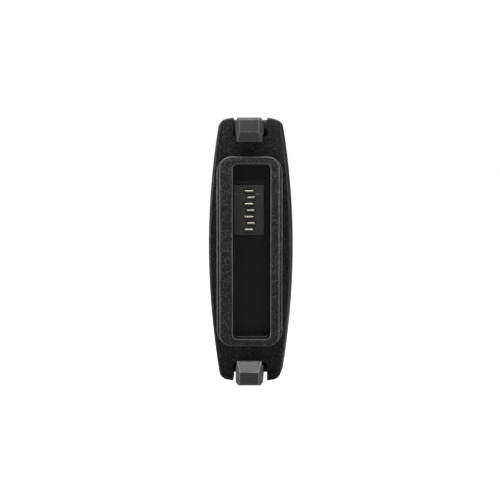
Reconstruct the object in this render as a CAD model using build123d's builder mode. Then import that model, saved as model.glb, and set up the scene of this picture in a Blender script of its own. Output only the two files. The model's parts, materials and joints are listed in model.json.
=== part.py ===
"""Wireless bodypack transmitter: a pocket-sized case made of two moulded shells.

The dock end, towards -Y, takes a clip-on battery pack: a tall collar round a well with
seven sprung contacts, and a hooked latch lever in each narrow side of the case. The far
end carries the aerial, the microphone socket, the mute slider and a status light. One
broad side, towards +X, has a small display and three keys.

Frame: X is the thickness, Y the length, Z the width, and the case stands on its lower
narrow side. The origin is the middle of the dock face. All lengths are in millimetres.
"""

import os
from math import hypot, radians, sqrt, tan

from build123d import *

# ---- case ----
case_width = 61.8  # Z, over the flats of the two narrow sides
case_thickness = 20.2  # X, at the crest of the bowed broad sides
side_bow = 2.55  # X, fall of each broad side from its crest to its corners
case_length = 66.0  # Y, from the dock face to the outer face of the top panel
flat_width = 8.9  # X, flat middle of each narrow side, which the case stands on
crown_radius = 26.0  # rounding of a narrow side beyond its flat
corner_radius = 2.1
flat_blend = 4.0  # rounding where the flat meets the crown
wall = 1.6
cavity_radius = 1.2
nose_length = 9.0  # Y, tapered part of the case at the dock end
nose_taper = 0.55  # X, how much each broad side draws in over the nose
nose_edge_radius = 0.6
dock_wall = 2.0  # Y, wall that closes the shells at the dock end
dock_draft = 1.6  # degrees, each half of the dock face falls away from the parting line
fit_gap = 0.1  # slip fit between moulded pieces
small_edge = 0.3  # chamfer on the edges of bought-in parts
over_cut = 1.0  # how far a cut runs past the face it opens
root = 0.1  # how far a boss, rib or stem is rooted in what carries it
play = 0.03  # radial running clearance round a pin

# ---- dock collar and its well ----
collar_end_margin = 9.0  # Z, from each flat of the case to the end of the collar
collar_side_margin = 2.5  # X, from the crest of each broad side to the collar
shoulder_width = 0.7  # X, how far the side shoulders stand out beyond the lip
collar_height = 6.3  # how far it stands out of the dock face
shoulder_drop = 0.8  # how far the shoulders lie below the lip
collar_radius = 3.6
lip_radius = 2.7
lip_edge = 0.25
well_end_wall = 1.7  # Z, wall between the well and each end of the lip
well_side_wall = 2.55  # X, mean wall between the well and each side of the lip
well_offset = 0.5  # X, the well lies off centre, so that a battery goes in one way round
well_radius = 1.1
well_depth = 6.8
well_floor = 1.3
flange_reach = 1.4  # Z, how far the hidden flange reaches beyond the collar
flange_thickness = 1.4
groove_wall = 0.8  # wall left outside the groove that holds the flange
rear_recess_margin = 1.2

# ---- contact module in the well ----
contact_count = 7
contact_pitch = 1.5
contact_drop = 10.8  # Z, from the top of the well to the middle contact
contact_centre_x = -0.2
contact_stagger = 0.45  # X, every second contact sits this much further over
contact_width = 2.3
contact_narrowing = 0.3  # every second contact is narrower by this
contact_height = 0.5  # Z
contact_metal = 0.22
contact_reach = 0.95  # how far the arch stands out of the block
contact_travel = 0.6
contact_crown = 0.45  # rounding of the arch's two shoulders
slot_gap = 0.12
carrier_width = 13.0  # Z
carrier_rise = 0.8  # above the floor of the well
carrier_flange = 0.9
carrier_flange_thickness = 1.2
block_width = 11.6  # Z
block_thickness = 6.9  # X
block_rise = 0.3  # above the carrier
block_shift = -0.7  # X, from the middle of the well
block_step = 0.2  # the block's face round the first contact lies deeper by this
block_flange = 0.8
block_flange_thickness = 1.4
contact_board_margin = 1.0
board_thickness = 1.0

# ---- latch levers ----
notch_width = 8.0  # X, slot in the dock wall that the lever's neck passes through
notch_depth = 4.3  # Z
latch_width = 6.3
latch_reach = 9.6  # how far the hook stands out of the dock face
latch_inset = 0.1  # how far the lever's back lies below the flat
nose_face_width = 4.4  # X, blunt end of the hook
nose_face_depth = 2.75  # Z
nose_inset = 0.55  # Z, from the lever's back to the blunt end
nose_cut_share = 0.2  # corner cuts of the blunt end, as a share of the head's
hook_depth = 5.5  # Z, of the hook's head
hook_ramp = 2.1  # Y, length of the sloping lead-in
hook_head = 3.9  # Y, from the tip to the catch face
neck_depth = 3.7  # Z
head_outer_cut = (0.55, 0.7)  # X and Z, corners of the head and neck at the lever's back
head_inner_cut = (0.33, 1.8)  # X and Z, corners of the head on the catch side
neck_inner_cut = (0.15, 0.15)
pad_start = 9.4
pad_end = 27.6
pad_width = 9.8
pad_drop = 0.7  # how far the finger pad lies below the flat
pad_slope = 0.9  # Y, from the neck's back down to the pad
pad_thickness = 1.6
pad_gap = 0.2  # between the pad and the sides of its pocket
pad_end_gap = 0.6
pad_corner = 1.2
rib_count = 5
rib_pitch = 2.2
rib_width = 0.9
rib_height = 0.4
pivot_y = 12.0
pivot_depth = 2.7  # from the flat down to the pin
pivot_hub_radius = 1.65
pin_radius = 0.8
pin_seat = 1.3  # how deep each end of the pin sits in a shell
pocket_depth = 4.6  # Z, from the flat to the pocket's floor
pocket_floor = 1.2
spring_metal = 0.25
spring_width = 6.0
spring_start = 17.0
spring_length = 9.0
spring_gap = 0.1

# ---- boards ----
board_x = -1.5  # back face of the main board
board_side_gap = 0.7  # between the main board and the bosses beside it
board_start_gap = 2.0  # from the contact board to the main board
board_end_gap = 2.6  # from the main board to the top board
board_corner = 1.5
header_thickness = 2.7
header_width = 8.0
header_overlap = 3.0  # how far the header reaches over the main board
post_radius = 1.6
post_inset = 4.0  # Z, from the edge of the main board
post_end_inset = 2.8  # Y, from the top end of the main board
post_dock_inset = 4.4  # Y, from the dock end of the main board
ui_board_depth = 5.6  # X, from the crest of the broad side down to the board's back
ui_board_thickness = 0.8
ui_board_side_inset = 2.0  # Z, how much narrower it is than the main board on each side
ui_board_key_margin = 7.5  # Y, how far it reaches past the middle of the keys
ui_post_inset = 3.0
shield_length = 18.0
shield_post_gap = 1.4  # Z, from the shield to the spacers beside it
shield_height = 3.2
shield_metal = 0.3
shield_corner = 0.6
shield_y_gap = 17.4  # from the top end of the main board to the middle of the shield
chip_height = 1.1
processor_side = 7.0
radio_chip_side = 5.0
filter_side = 4.0
chip_gap = 1.5
top_board_gap = 7.8  # from the inner face of the top panel to the top board
top_board_depth = 10.6  # X

# ---- display and keys ----
lens_overlap = 0.5  # how far the lens reaches beyond the display on each side
lens_radius = 1.4
lens_seat = 1.1  # how deep the lens seats below the crest of the broad side
lens_margin = 1.6  # width of the ledge that the lens seats on
display_end_gap = 21.4  # Y, from the top panel's face to the middle of the display
display_length = 12.0
display_post_gap = 0.9  # Z, from the display to the posts beside it
display_height = 2.1
key_spacing_y = 13.1  # Y, from the middle of the display to the keys
key_pitch = 8.5
key_length = 4.4  # Y
key_width = 6.4  # Z
key_radius = 1.5
key_edge = 0.35
key_sink = 0.15  # how far the face lies below the bow of the broad side
key_travel = 0.5
key_gap = 0.15
key_flange = 0.6
key_flange_thickness = 0.5
plunger_radius = 0.9
plunger_gap = 0.05
switch_side = 3.6
switch_height = 1.0
switch_well_depth = 0.7

# ---- case screws ----
screw_y_dock = 16.0
screw_end_gap = 12.6  # Y, from the top panel's face to the screws near it
boss_radius = 2.3
boss_pocket_gap = 0.8  # Z, from a boss near the dock to the end of its cavity
boss_wall_gap = 1.0  # Z, from a boss near the top to the narrow side's wall
screw_radius = 0.8
screw_length = 10.0
screw_head_radius = 1.7
screw_head_height = 1.2
screw_seat_depth = 3.7  # X, from the crest of the back down to the screw heads' seats
screw_socket_radius = 0.8
screw_socket_depth = 0.7
screw_fit = 0.02
pilot_spare = 0.5  # depth of the pilot hole beyond the screw's end

# ---- top panel ----
panel_thickness = 5.4
panel_wall = 2.2
panel_edge_radius = 1.3
panel_gasket = 0.6
gasket_inset = 0.3
plug_depth = 2.5  # how far the panel reaches into the shells
plug_wall = 1.2
lug_width = 5.2
lug_thickness = 1.6
lug_root = 0.5  # how far each lug is rooted in the panel

# ---- mute slider ----
mute_z = 2.5  # middle of the slider's travel
mute_travel = 3.0
mute_recess_depth = 1.2
mute_recess_margin = 0.7
mute_recess_corner = 1.0
mute_knob_width = 5.4  # Z
mute_knob_thickness = 4.2  # X
mute_knob_rise = 1.3  # above the panel
mute_knob_gap = 0.1
mute_stem_width = 2.6
mute_stem_thickness = 1.8
mute_stem_reach = 1.2  # how far the stem goes into its switch
mute_body_width = 9.6
mute_body_thickness = 4.6
mute_knob_edge = 0.5
mute_grooves = 3
mute_groove_pitch = 1.4
mute_groove_width = 0.5
mute_groove_depth = 0.3

# ---- status light ----
led_z = -5.9
led_radius = 1.1
led_flange_radius = 1.7
led_flange_thickness = 0.6
led_dome = 0.35
led_side = 2.0
led_height = 1.0

# ---- microphone socket ----
audio_side_gap = 14.4  # Z, from the lower flat to the middle of the socket
audio_bore_radius = 3.1
audio_insert_radius = 2.8  # of the insulator, below the step in the bore
audio_barrel_radius = 4.2
audio_flange_radius = 5.4
audio_flange_height = 1.3
audio_edge = 0.35
audio_free_depth = 4.6  # clear bore down to the tips of the pins
audio_pin_length = 3.0
audio_insulator_thickness = 2.6
audio_nut_flats = 10.4
audio_nut_height = 1.6
audio_pin_circle = 1.5
audio_pin_radius = 0.4
audio_pin_count = 3

# ---- aerial ----
aerial_side_gap = 13.5  # Z, from the upper flat to the aerial
stud_radius = 3.1
stud_rise = 5.5
stud_tail = 5.2
stud_bore_radius = 1.2
aerial_nut_flats = 9.6
aerial_nut_height = 1.6
ferrule_radius = 4.6
ferrule_length = 10.5
ferrule_gap = 0.2
ferrule_cap = 2.6
ferrule_edge = 0.5
groove_count = 16
groove_radius = 0.35
sleeve_root_radius = 3.7
sleeve_neck_radius = 2.9
sleeve_tip_radius = 2.3
sleeve_length = 46.0
sleeve_boot = 11.0  # Y, flared part next to the ferrule
rod_radius = 0.9
rod_length = 40.0

# ---- belt clip sockets ----
clip_end_gap = 24.0  # Y, from the top panel's face to the clip sockets
clip_bore_radius = 1.1
clip_bore_depth = 2.2
clip_bush_radius = 2.0
clip_bush_length = 3.2
clip_bush_flange = 0.6
clip_bush_flange_thickness = 0.8
clip_bush_inset = 0.1
clip_boss_wall = 1.0

# ---- worked out from the sizes above ----
flat_z = case_width / 2
shell_end = case_length - panel_thickness - panel_gasket
cavity_z = flat_z - pocket_depth - pocket_floor
pocket_start = pad_start - pad_end_gap
pocket_end = pad_end + pad_end_gap
pocket_x = pad_width / 2 + pad_gap
pivot_z = flat_z - pivot_depth
latch_back_z = flat_z - latch_inset
pad_top_z = flat_z - pad_drop
collar_width = case_width - 2 * collar_end_margin
collar_thickness = case_thickness - 2 * collar_side_margin
lip_thickness = collar_thickness - 2 * shoulder_width
well_width = collar_width - 2 * well_end_wall
well_thickness = lip_thickness - 2 * well_side_wall
contact_centre_z = well_width / 2 - contact_drop
well_floor_y = well_depth - collar_height
floor_back_y = well_floor_y + well_floor
flange_back_y = dock_wall + flange_thickness
carrier_face_y = well_floor_y - carrier_rise
carrier_back_y = floor_back_y + carrier_flange_thickness
block_face_y = carrier_face_y - block_rise
block_back_y = carrier_back_y + block_flange_thickness
block_x = well_offset + block_shift
contact_board_back = block_back_y + board_thickness
panel_back_y = case_length - panel_wall
screw_z_dock = cavity_z - boss_radius - boss_pocket_gap
screw_y_top = case_length - screw_end_gap
screw_z_top = flat_z - wall - boss_radius - boss_wall_gap
screw_seat_x = screw_seat_depth - case_thickness / 2
top_board_front = panel_back_y - top_board_gap
top_board_y = top_board_front - board_thickness
board_start = contact_board_back + board_start_gap
board_end = top_board_y - board_end_gap
board_width = 2 * (screw_z_dock - boss_radius - board_side_gap)
board_front_x = board_x + board_thickness
display_y = case_length - display_end_gap
key_y = display_y - key_spacing_y
ui_board_start = key_y - ui_board_key_margin
ui_board_x = case_thickness / 2 - ui_board_depth
ui_front_x = ui_board_x + ui_board_thickness
post_z = board_width / 2 - post_inset
shield_width = 2 * (post_z - post_radius - shield_post_gap)
display_width = 2 * (post_z - post_radius - display_post_gap)
lens_length = display_length + 2 * lens_overlap
lens_width = display_width + 2 * lens_overlap
post_y_dock = board_start + post_dock_inset
post_y_mid = ui_board_start + ui_post_inset
post_y_top = board_end - post_end_inset
shield_y = board_end - shield_y_gap
clip_y = case_length - clip_end_gap
audio_z = audio_side_gap - flat_z
aerial_z = flat_z - aerial_side_gap
key_back_x = ui_front_x + switch_height + key_travel
socket_face_y = case_length + audio_flange_height
pin_tip_y = socket_face_y - audio_free_depth
insulator_face_y = pin_tip_y - audio_pin_length
socket_back_y = insulator_face_y - audio_insulator_thickness
stud_top_y = case_length + stud_rise
ferrule_start_y = case_length + ferrule_gap
ferrule_end_y = ferrule_start_y + ferrule_length
screw_spots = [
    (y, side * z)
    for y, z in ((screw_y_dock, screw_z_dock), (screw_y_top, screw_z_top))
    for side in (-1, 1)
]
os.makedirs("parts", exist_ok=True)


# centres of the arcs of the barrel outline: the crown on the Z axis, the bow on the X axis
crown_centre_z = flat_z - sqrt(crown_radius**2 - (flat_width / 2) ** 2)
corner_x = case_thickness / 2 - side_bow
corner_z = crown_centre_z + sqrt(crown_radius**2 - corner_x**2)
bow_radius = (corner_z**2 + side_bow**2) / (2 * side_bow)


def side_x(z):
    """Half the thickness of the case at a height z."""
    return case_thickness / 2 - bow_radius + sqrt(bow_radius**2 - z**2)


def outline(draw_in=0.0, inset=0.0):
    """The case's barrel outline: bowed sides, crowned ends with a flat, round corners.

    draw_in moves each broad side towards the middle, and inset shrinks the whole outline.
    """
    bow_x = case_thickness / 2 - draw_in - bow_radius
    bow_r, crown_r, top_z = bow_radius - inset, crown_radius - inset, flat_z - inset
    # the corner is where the two circles cross, found along the line of their centres
    spread = hypot(bow_x, crown_centre_z)
    along = (bow_r**2 - crown_r**2 + spread**2) / (2 * spread)
    across = sqrt(bow_r**2 - along**2)
    near_x = bow_x - (along * bow_x + across * crown_centre_z) / spread
    near_z = (along * crown_centre_z - across * bow_x) / spread
    flat_x = sqrt(crown_r**2 - (top_z - crown_centre_z) ** 2)
    middle_x = (near_x + flat_x) / 2
    middle_z = crown_centre_z + sqrt(crown_r**2 - middle_x**2)
    with BuildSketch() as barrel:
        with BuildLine():
            ThreePointArc((near_x, near_z), (bow_x + bow_r, 0), (near_x, -near_z))
            for side in (1, -1):
                ThreePointArc(
                    (flat_x, side * top_z),
                    (middle_x, side * middle_z),
                    (near_x, side * near_z),
                )
                Line((0, side * top_z), (flat_x, side * top_z))
            mirror(about=Plane.YZ)
        make_face()
        corners = barrel.vertices().filter_by(lambda v: abs(abs(v.X) - near_x) < 0.01)
        fillet(corners, corner_radius - inset)
        kinks = barrel.vertices().filter_by(lambda v: abs(abs(v.X) - flat_x) < 0.01)
        fillet(kinks, flat_blend)
    return barrel.sketch


def hollow(inset, half_z):
    """Section of a space or a piece inside the nose's outline: bowed sides, flat ends."""
    with BuildSketch() as bowed:
        Rectangle(case_thickness, 2 * half_z)
        for side in (1, -1):
            bow_x = side * (case_thickness / 2 - nose_taper - bow_radius)
            with Locations((bow_x, 0)):
                Circle(bow_radius - inset, mode=Mode.INTERSECT)
        fillet(bowed.vertices(), cavity_radius)
    return bowed.sketch


def section(y):
    """The plane across the case at that Y. Its axes are X and Z, and it faces -Y."""
    return Plane.XZ.offset(-y)


def slab(low, high, mode=Mode.ADD):
    """A block in the open part, given by its lowest and highest corners."""
    with Locations([tuple((a + b) / 2 for a, b in zip(low, high))]):
        Box(*[b - a for a, b in zip(low, high)], mode=mode)


def round_x(x_range, y, z, radius, mode=Mode.ADD):
    """A cylinder along X in the open part."""
    with Locations((sum(x_range) / 2, y, z)):
        Cylinder(radius, abs(x_range[1] - x_range[0]), rotation=(0, 90, 0), mode=mode)


def round_y(y_range, z, radius, mode=Mode.ADD):
    """A cylinder along Y in the open part, on the middle plane."""
    with Locations((0, sum(y_range) / 2, z)):
        Cylinder(radius, abs(y_range[1] - y_range[0]), rotation=(90, 0, 0), mode=mode)


def write(part, name):
    """Labels a finished piece and writes it to its own file."""
    part.label = name
    export_step(part, f"parts/{name}.step")


full_outline = outline()
nose_outline = outline(draw_in=nose_taper)
cavity_outline = hollow(wall, flat_z - wall)

# ---- case blank: what both shells share, before the blank is parted ----
with BuildPart() as case_blank:
    with BuildSketch(section(0)):
        add(nose_outline)
    with BuildSketch(section(nose_length)):
        add(full_outline)
    loft(ruled=True)
    with BuildSketch(section(shell_end)):
        add(full_outline)
    extrude(amount=shell_end - nose_length)
    # the dock face falls away from the parting line, by the draft of the two moulds
    with BuildSketch(Plane.XY):
        with BuildLine():
            far_x = case_thickness / 2 + over_cut
            fall = far_x * tan(radians(dock_draft))
            Polyline((0, 0), (far_x, fall), (far_x, case_length), (0, case_length))
            mirror(about=Plane.YZ)
        make_face()
    extrude(amount=case_width, both=True, mode=Mode.INTERSECT)
    dock_faces = case_blank.faces().sort_by(Axis.Y)[:2]
    ridge = dock_faces[0].edges().sort_by(Axis.Y)[0]
    rim = [e for f in dock_faces for e in f.edges() if (e @ 0.5 - ridge @ 0.5).length > 1]
    fillet(rim, nose_edge_radius)
    # beside the latch pockets the cavity is narrower than behind them
    with BuildSketch(section(shell_end)):
        add(cavity_outline)
    extrude(amount=shell_end - pocket_end - pocket_floor, mode=Mode.SUBTRACT)
    with BuildSketch(section(pocket_end + pocket_floor)):
        add(hollow(wall, cavity_z))
    extrude(amount=pocket_end + pocket_floor - dock_wall, mode=Mode.SUBTRACT)
    # groove that traps the collar's flange, and the hole that the collar stands in
    with BuildSketch(section(flange_back_y)):
        add(hollow(groove_wall, cavity_z))
    extrude(amount=flange_thickness, mode=Mode.SUBTRACT)
    with BuildSketch(section(dock_wall)):
        RectangleRounded(
            collar_thickness + 2 * fit_gap,
            collar_width + 2 * fit_gap,
            collar_radius + fit_gap,
        )
    extrude(amount=dock_wall, mode=Mode.SUBTRACT)
    for side in (1, -1):
        # notch for the neck of the latch, then the pocket of its finger pad
        top = side * (flat_z + over_cut)
        for half_x, y_range, depth in (
            (notch_width / 2, (-over_cut, pocket_start), notch_depth),
            (pocket_x, (pocket_start, pocket_end), pocket_depth),
        ):
            low_z, high_z = sorted((side * (flat_z - depth), top))
            slab(
                (-half_x, y_range[0], low_z),
                (half_x, y_range[1], high_z),
                mode=Mode.SUBTRACT,
            )
        # blind seat of the pivot pin, half in each shell
        seat_x = pocket_x + pin_seat
        round_x((-seat_x, seat_x), pivot_y, side * pivot_z, pin_radius, Mode.SUBTRACT)
        # boss and stepped seat of the belt clip bush, trapped between the shells
        bush_low = flat_z - clip_bush_inset - clip_bush_length
        boss_low = bush_low - clip_boss_wall
        clip_plane = Plane((0, clip_y, 0), z_dir=(0, 0, side))
        with BuildSketch(clip_plane.offset(boss_low)):
            Circle(clip_bush_radius + clip_bush_flange + clip_boss_wall)
        extrude(amount=flat_z - wall - boss_low + root)
        with BuildSketch(clip_plane.offset(bush_low)):
            Circle(clip_bush_radius + clip_bush_flange)
        extrude(amount=clip_bush_flange_thickness, mode=Mode.SUBTRACT)
        with BuildSketch(clip_plane.offset(bush_low)):
            Circle(clip_bush_radius)
        extrude(amount=clip_bush_length + over_cut, mode=Mode.SUBTRACT)
print("case blank", case_blank.part.is_valid, round(case_blank.part.volume))


def add_bosses(side):
    """Screw bosses and board posts of one shell: side is +1 in front, -1 behind."""
    for y, z in screw_spots:
        top = lug_thickness / 2 if y == screw_y_top else 0
        reach = side_x(z) - nose_taper - wall / 2
        round_x((side * top, side * reach), y, z, boss_radius)


# ---- back shell: screws enter here, and its posts carry the main board ----
with BuildPart() as back_shell:
    add(case_blank.part)
    split(bisect_by=Plane.YZ, keep=Keep.BOTTOM)
    add_bosses(-1)
    for y in (post_y_dock, post_y_mid, post_y_top):
        for z in (-post_z, post_z):
            reach = side_x(z) - nose_taper - wall / 2
            round_x((board_x, -reach), y, z, post_radius)
    for y, z in screw_spots:
        round_x((-case_thickness, 0), y, z, screw_radius + fit_gap, Mode.SUBTRACT)
        recess_radius = screw_head_radius + fit_gap
        round_x((-case_thickness, screw_seat_x), y, z, recess_radius, Mode.SUBTRACT)
write(back_shell.part, "back_shell")

# ---- front shell: display window, key holes, blind screw bosses ----
key_spots = [(key_y, (n - 1) * key_pitch) for n in range(3)]
display_plane = Plane((0, 0, 0), x_dir=(0, 1, 0), z_dir=(1, 0, 0))
lens_x = case_thickness / 2 - lens_seat
with BuildPart() as front_shell:
    add(case_blank.part)
    split(bisect_by=Plane.YZ, keep=Keep.TOP)
    add_bosses(1)
    for y, post_end_x in (
        (post_y_dock, board_front_x),
        (post_y_mid, ui_front_x),
        (post_y_top, ui_front_x),
    ):
        for z in (-post_z, post_z):
            reach = side_x(z) - nose_taper - wall / 2
            round_x((post_end_x, reach), y, z, post_radius)
    for y, z in screw_spots:
        pilot_end = screw_seat_x + screw_length + pilot_spare
        round_x((0, pilot_end), y, z, screw_radius + screw_fit, Mode.SUBTRACT)
    with BuildSketch(display_plane.offset(lens_x)):
        with Locations((display_y, 0)):
            RectangleRounded(lens_length, lens_width, lens_radius)
    extrude(amount=case_thickness, mode=Mode.SUBTRACT)
    with BuildSketch(display_plane):
        with Locations((display_y, 0)):
            RectangleRounded(
                lens_length - 2 * lens_margin,
                lens_width - 2 * lens_margin,
                lens_radius / 2,
            )
        with Locations(key_spots):
            RectangleRounded(
                key_length + 2 * key_gap, key_width + 2 * key_gap, key_radius + key_gap
            )
    extrude(amount=case_thickness, mode=Mode.SUBTRACT)
write(front_shell.part, "front_shell")

# ---- display lens: a clear plate whose face carries on the bow of the broad side ----
with BuildPart() as display_lens:
    with BuildSketch(section(display_y + lens_length)):
        add(full_outline)
    extrude(amount=2 * lens_length)
    with BuildSketch(display_plane.offset(lens_x)):
        with Locations((display_y, 0)):
            RectangleRounded(
                lens_length - 2 * fit_gap,
                lens_width - 2 * fit_gap,
                lens_radius - fit_gap,
            )
    extrude(amount=case_thickness, mode=Mode.INTERSECT)
write(display_lens.part, "display_lens")

# ---- dock collar: lip and shoulders outside, flange inside, well for the battery ----
with BuildPart() as dock_collar:
    with BuildSketch(section(flange_back_y)):
        RectangleRounded(collar_thickness, collar_width, collar_radius)
    extrude(amount=flange_back_y + collar_height - shoulder_drop)
    with BuildSketch(section(0)):
        RectangleRounded(lip_thickness, collar_width, lip_radius)
    extrude(amount=collar_height)
    lip_face = dock_collar.faces().sort_by(Axis.Y)[0]
    chamfer(lip_face.edges(), lip_edge)
    with BuildSketch(section(flange_back_y)):
        add(hollow(groove_wall + fit_gap, collar_width / 2 + flange_reach))
    extrude(amount=flange_thickness)
    with BuildSketch(section(well_floor_y)):
        with Locations((well_offset, 0)):
            RectangleRounded(well_thickness, well_width, well_radius)
    extrude(amount=case_length, mode=Mode.SUBTRACT)
    mouth = dock_collar.faces().sort_by(Axis.Y)[0].inner_wires()[0]
    chamfer(mouth.edges(), lip_edge)
    # behind the floor: a recess for the flange of the contact carrier
    with BuildSketch(section(flange_back_y)):
        with Locations((well_offset, 0)):
            RectangleRounded(
                well_thickness + 2 * rear_recess_margin,
                well_width + 2 * rear_recess_margin,
                well_radius,
            )
    extrude(amount=flange_back_y - floor_back_y, mode=Mode.SUBTRACT)
    with BuildSketch(section(floor_back_y)):
        with Locations((well_offset, contact_centre_z)):
            Rectangle(well_thickness, carrier_width + 2 * fit_gap)
    extrude(amount=2 * well_floor, mode=Mode.SUBTRACT)
write(dock_collar.part, "dock_collar")

# ---- contact carrier: fills the window in the well's floor from behind ----
with BuildPart() as contact_carrier:
    with BuildSketch(section(carrier_back_y)):
        with Locations((well_offset, contact_centre_z)):
            Rectangle(well_thickness - 2 * fit_gap, carrier_width)
    extrude(amount=carrier_back_y - carrier_face_y)
    with BuildSketch(section(carrier_back_y)):
        with Locations((well_offset, contact_centre_z)):
            Rectangle(
                well_thickness + 2 * carrier_flange, carrier_width + 2 * carrier_flange
            )
    extrude(amount=carrier_flange_thickness)
    with BuildSketch(section(carrier_back_y)):
        with Locations((block_x, contact_centre_z)):
            Rectangle(block_thickness + 2 * fit_gap, block_width + 2 * fit_gap)
    extrude(amount=case_length, mode=Mode.SUBTRACT)
write(contact_carrier.part, "contact_carrier")

# ---- contact block: one slot for each sprung contact ----
contact_spots = []
for n in range(contact_count):
    z = contact_centre_z + (contact_count - 1) / 2 * contact_pitch - n * contact_pitch
    odd = n % 2
    width = contact_width - contact_narrowing * odd
    contact_spots.append((contact_centre_x + contact_stagger * odd, z, width))

with BuildPart() as contact_block:
    with BuildSketch(section(block_back_y)):
        with Locations((block_x, contact_centre_z)):
            Rectangle(block_thickness, block_width)
    extrude(amount=block_back_y - block_face_y)
    with BuildSketch(section(block_back_y)):
        with Locations((block_x, contact_centre_z)):
            Rectangle(
                block_thickness + 2 * block_flange, block_width + 2 * block_flange
            )
    extrude(amount=block_flange_thickness)
    for x, z, width in contact_spots:
        with BuildSketch(section(block_back_y)):
            with Locations((x, z)):
                Rectangle(width + 2 * slot_gap, contact_height + 2 * slot_gap)
        extrude(amount=case_length, mode=Mode.SUBTRACT)
    step_z = (contact_spots[0][1] + contact_spots[1][1]) / 2
    slab(
        (-case_thickness, -case_length, step_z),
        (case_thickness, block_face_y + block_step, case_width),
        mode=Mode.SUBTRACT,
    )
write(contact_block.part, "contact_block")

# ---- sprung contacts: a strip bent to an arch, with two legs back into the block ----
leg_end_y = block_back_y - contact_travel - slot_gap
crest_y = block_face_y - contact_reach
for n, (x, z, width) in enumerate(contact_spots):
    with BuildPart() as contact:
        with BuildSketch(Plane.XY.offset(z)) as strip:
            with BuildLine():
                FilletPolyline(
                    (x - width / 2, leg_end_y),
                    (x - width / 2, crest_y + contact_crown),
                    (x - width / 2 + contact_crown, crest_y),
                    (x + width / 2 - contact_crown, crest_y),
                    (x + width / 2, crest_y + contact_crown),
                    (x + width / 2, leg_end_y),
                    radius=contact_crown / 2,
                )
                Line((x - width / 2, leg_end_y), (x + width / 2, leg_end_y))
            make_face()
            with BuildLine():
                inner = width / 2 - contact_metal
                near = crest_y + contact_metal
                Polyline(
                    (x - inner, leg_end_y),
                    (x - inner, near + contact_crown),
                    (x - inner + contact_crown, near),
                    (x + inner - contact_crown, near),
                    (x + inner, near + contact_crown),
                    (x + inner, leg_end_y),
                    close=True,
                )
            make_face(mode=Mode.SUBTRACT)
        extrude(amount=contact_height / 2, both=True)
    write(contact.part, f"contact_{n + 1}")

# ---- contact board, and the header that joins it to the main board ----
with BuildPart() as contact_board:
    with BuildSketch(section(contact_board_back)):
        with Locations((block_x, contact_centre_z)):
            RectangleRounded(
                block_thickness + 2 * block_flange + contact_board_margin,
                block_width + 2 * block_flange + 2 * contact_board_margin,
                contact_board_margin / 2,
            )
    extrude(amount=board_thickness)
write(contact_board.part, "contact_board")

with BuildPart() as board_header:
    slab(
        (board_front_x, contact_board_back, contact_centre_z - header_width / 2),
        (
            board_front_x + header_thickness,
            board_start + header_overlap,
            contact_centre_z + header_width / 2,
        ),
    )
    chamfer(board_header.edges().filter_by(Axis.Z), small_edge)
write(board_header.part, "board_header")

# ---- main board, its chips and the radio shield ----
with BuildPart() as main_board:
    with BuildSketch(display_plane.offset(board_x)):
        with Locations(((board_start + board_end) / 2, 0)):
            RectangleRounded(board_end - board_start, board_width, board_corner)
    extrude(amount=board_thickness)
write(main_board.part, "main_board")

with BuildPart() as radio_shield:
    with BuildSketch(display_plane.offset(board_x)):
        with Locations((shield_y, 0)):
            RectangleRounded(shield_length, shield_width, shield_corner)
    extrude(amount=-shield_height)
    open_face = radio_shield.faces().sort_by(Axis.X)[-1]
    offset(amount=-shield_metal, openings=open_face)
write(radio_shield.part, "radio_shield")

with BuildPart() as main_chips:
    for y, z, side in (
        (shield_y - processor_side / 2, -processor_side / 2 - chip_gap, processor_side),
        (shield_y - radio_chip_side / 2, radio_chip_side / 2 + chip_gap, radio_chip_side),
        (shield_y + filter_side / 2 + chip_gap, 0, filter_side),
    ):
        slab(
            (board_x - chip_height, y - side / 2, z - side / 2),
            (board_x, y + side / 2, z + side / 2),
        )
write(main_chips.part, "radio_chips")

# ---- user interface board on four spacers, with the display and the key switches ----
with BuildPart() as board_spacers:
    for y in (post_y_mid, post_y_top):
        for z in (-post_z, post_z):
            round_x((board_front_x, ui_board_x), y, z, post_radius)
write(board_spacers.part, "board_spacers")

with BuildPart() as ui_board:
    with BuildSketch(display_plane.offset(ui_board_x)):
        with Locations(((ui_board_start + board_end) / 2, 0)):
            RectangleRounded(
                board_end - ui_board_start,
                board_width - 2 * ui_board_side_inset,
                board_corner,
            )
    extrude(amount=ui_board_thickness)
write(ui_board.part, "ui_board")

with BuildPart() as display_module:
    with BuildSketch(display_plane.offset(ui_front_x)):
        with Locations((display_y, 0)):
            Rectangle(display_length, display_width)
    extrude(amount=display_height)
    glass = display_module.faces().sort_by(Axis.X)[-1]
    chamfer(glass.edges(), small_edge)
write(display_module.part, "display_module")

with BuildPart() as key_switches:
    for y, z in key_spots:
        slab(
            (ui_front_x, y - switch_side / 2, z - switch_side / 2),
            (ui_front_x + switch_height, y + switch_side / 2, z + switch_side / 2),
        )
        switch_face_x = ui_front_x + switch_height
        well_x = (switch_face_x - switch_well_depth, switch_face_x)
        round_x(well_x, y, z, plunger_radius + key_gap, Mode.SUBTRACT)
write(key_switches.part, "key_switches")

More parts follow.
